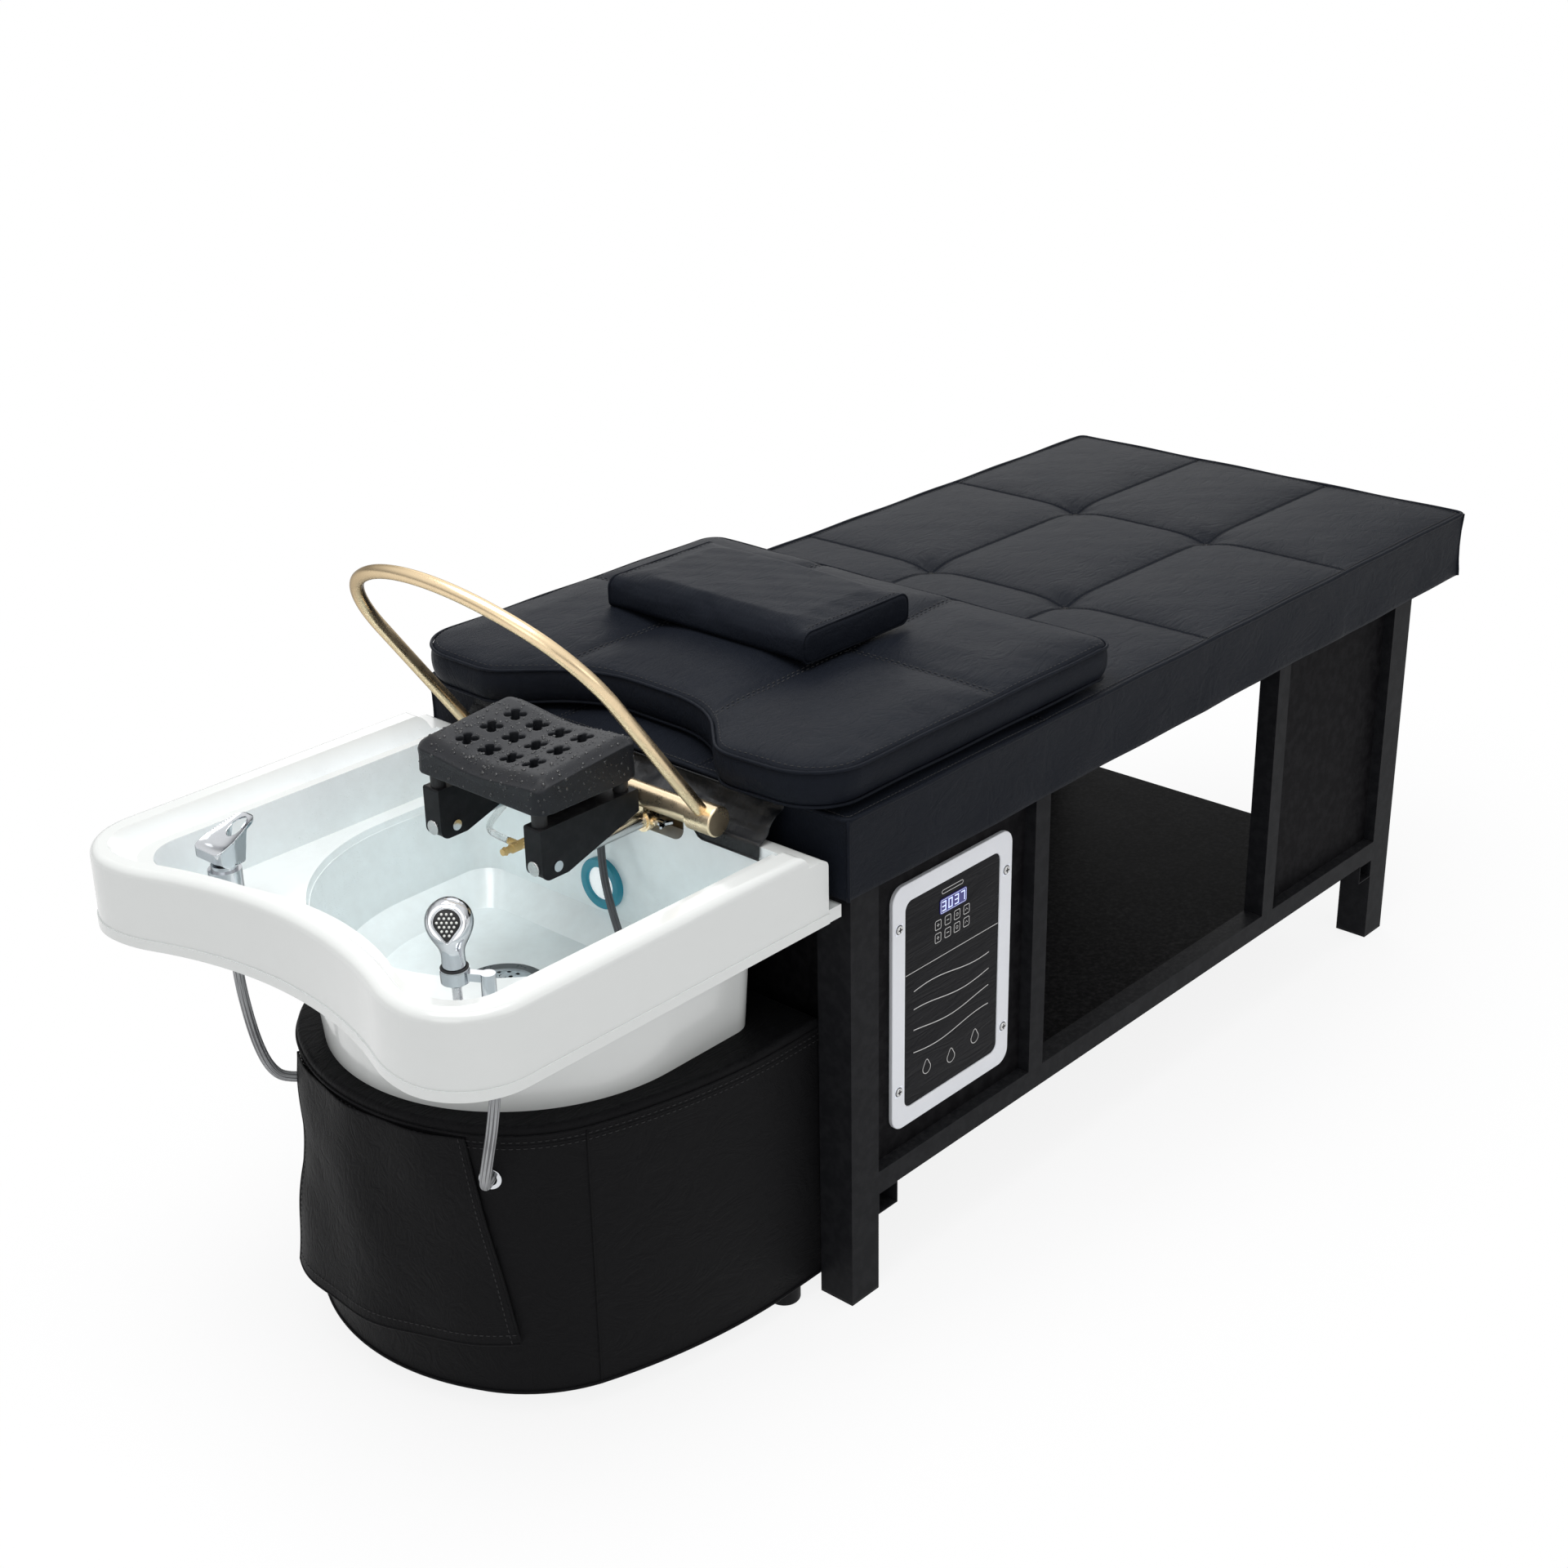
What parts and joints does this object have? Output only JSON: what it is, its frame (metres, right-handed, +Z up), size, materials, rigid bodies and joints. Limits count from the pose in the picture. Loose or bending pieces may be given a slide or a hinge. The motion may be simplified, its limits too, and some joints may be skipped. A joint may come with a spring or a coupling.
{
  "type": "hair washing bed",
  "caption": "Salon hair washing bed: padded couch on a steel frame with a white wash basin, headrest, swinging water arch, tap and hand shower at its head.",
  "frame": {"origin": "bottom centre of the whole bed, on the floor", "axes": "+X towards the foot of the couch, +Z up; the control panel faces -Y"},
  "size_m": [1.996, 0.7, 0.9479],
  "materials": {
    "frame_paint": "satin dark charcoal powder coat",
    "black_plastic": "matt",
    "black_board": "black laminate",
    "black_leather": "synthetic leather, soft sheen",
    "white_plastic": "gloss",
    "panel_glass": "glossy film over black",
    "display": "lit blue",
    "basin_white": "gloss gel coat",
    "drain_grey": "satin",
    "chrome": "polished",
    "pipe_plastic": "plain",
    "lamp_blue": "translucent",
    "face_plastic": "satin",
    "gold": "brushed champagne gold",
    "headrest_foam": "fine grain",
    "amber": "translucent amber",
    "clear_hose": "clear",
    "grey_hose": "ribbed or braided"
  },
  "bodies": {
    "bed": {"base_feet": "black_plastic", "base_flap": "black_leather", "base_shell": "black_leather", "base_top": "black_leather", "basin_bowl": "basin_white", "basin_tray": "basin_white", "bed_legs": "frame_paint", "bed_mattress": "black_leather", "bezel_screws": "chrome", "board_bearers": "frame_paint", "bottom_board": "black_board", "bottom_side_rails": "frame_paint", "circulation_pump": "pipe_plastic", "clamp_rings": "gold", "clear_tube": "clear_hose", "control_bezel": "white_plastic", "control_box": "black_plastic", "control_display": "display", "control_glass": "panel_glass", "cross_panels": "black_board", "crossbar": "gold", "deck_board": "black_board", "drain_flange": "drain_grey", "frame_posts": "frame_paint", "head_apron": "black_leather", "hose_eyelets": "chrome", "hose_shower": "grey_hose", "hose_tap": "grey_hose", "hose_tee": "amber", "lamp_lens": "white_plastic", "lamp_ring": "lamp_blue", "leg_glides": "black_plastic", "ribbed_hose": "grey_hose", "rod_sleeves": "gold", "shower_grommet": "black_plastic", "shower_holder": "chrome", "side_panels": "black_board", "tap_body": "chrome", "tap_nut": "chrome", "top_rails": "frame_paint", "waste_pipe": "pipe_plastic", "water_heater": "pipe_plastic"},
    "tap_head": {"tap_stem": "chrome"},
    "tap_handle": {"tap_lever": "chrome"},
    "shower_bush": {"holder_insert": "pipe_plastic"},
    "hand_shower": {"handset_body": "chrome", "handset_face": "face_plastic", "shower_hose": "chrome"},
    "arch": {"arch_tube": "gold", "bar_caps": "gold"},
    "headrest": {"headrest_rods": "gold", "headrest_brackets": "frame_paint", "bracket_bolts": "chrome", "headrest_stubs": "black_plastic", "headrest_cushion": "headrest_foam"},
    "screw_near": {"wing_screw_near": "chrome"},
    "screw_far": {"wing_screw_far": "chrome"},
    "strainer": {"drain_strainer": "chrome"},
    "topper": {"topper_pad": "black_leather"},
    "pillow": {"small_pillow": "black_leather"}
  },
  "joints": [
    {"name": "tap_turn", "type": "hinge", "parent": "bed", "child": "tap_head", "pos_m": [-0.882, 0.19, 0.6], "axis": [0, 0, 1], "range_deg": [-60, 60]},
    {"name": "tap_lift", "type": "hinge", "parent": "tap_head", "child": "tap_handle", "pos_m": [-0.882, 0.19, 0.616], "axis": [0, -1, 0], "range_deg": [0, 18]},
    {"name": "shower_turn", "type": "hinge", "parent": "bed", "child": "shower_bush", "pos_m": [-0.874, -0.19, 0.595], "axis": [-0.0349, 0, 0.9994], "range_deg": [-90, 90]},
    {"name": "shower_lift", "type": "slide", "parent": "shower_bush", "child": "hand_shower", "axis": [-0.0349, 0, 0.9994], "range_m": [0, 0.035]},
    {"name": "arch_swing", "type": "hinge", "parent": "bed", "child": "arch", "pos_m": [-0.5, 0, 0.638], "axis": [0, 1, 0], "range_deg": [-30, 38]},
    {"name": "headrest_slide", "type": "slide", "parent": "bed", "child": "headrest", "axis": [-1, 0, 0], "range_m": [0, 0.03]},
    {"name": "screw_near_turn", "type": "hinge", "parent": "bed", "child": "screw_near", "pos_m": [-0.491, -0.115, 0.604], "axis": [0, -1, 0], "continuous": true},
    {"name": "screw_far_turn", "type": "hinge", "parent": "bed", "child": "screw_far", "pos_m": [-0.491, 0.115, 0.604], "axis": [0, 1, 0], "continuous": true},
    {"name": "strainer_lift", "type": "slide", "parent": "bed", "child": "strainer", "axis": [0, 0, 1], "range_m": [0, 0.06]},
    {"name": "topper_lift", "type": "slide", "parent": "bed", "child": "topper", "axis": [0, 0, 1], "range_m": [0, 0.15]},
    {"name": "pillow_lift", "type": "slide", "parent": "topper", "child": "pillow", "axis": [0, 0, 1], "range_m": [0, 0.15]}
  ]
}
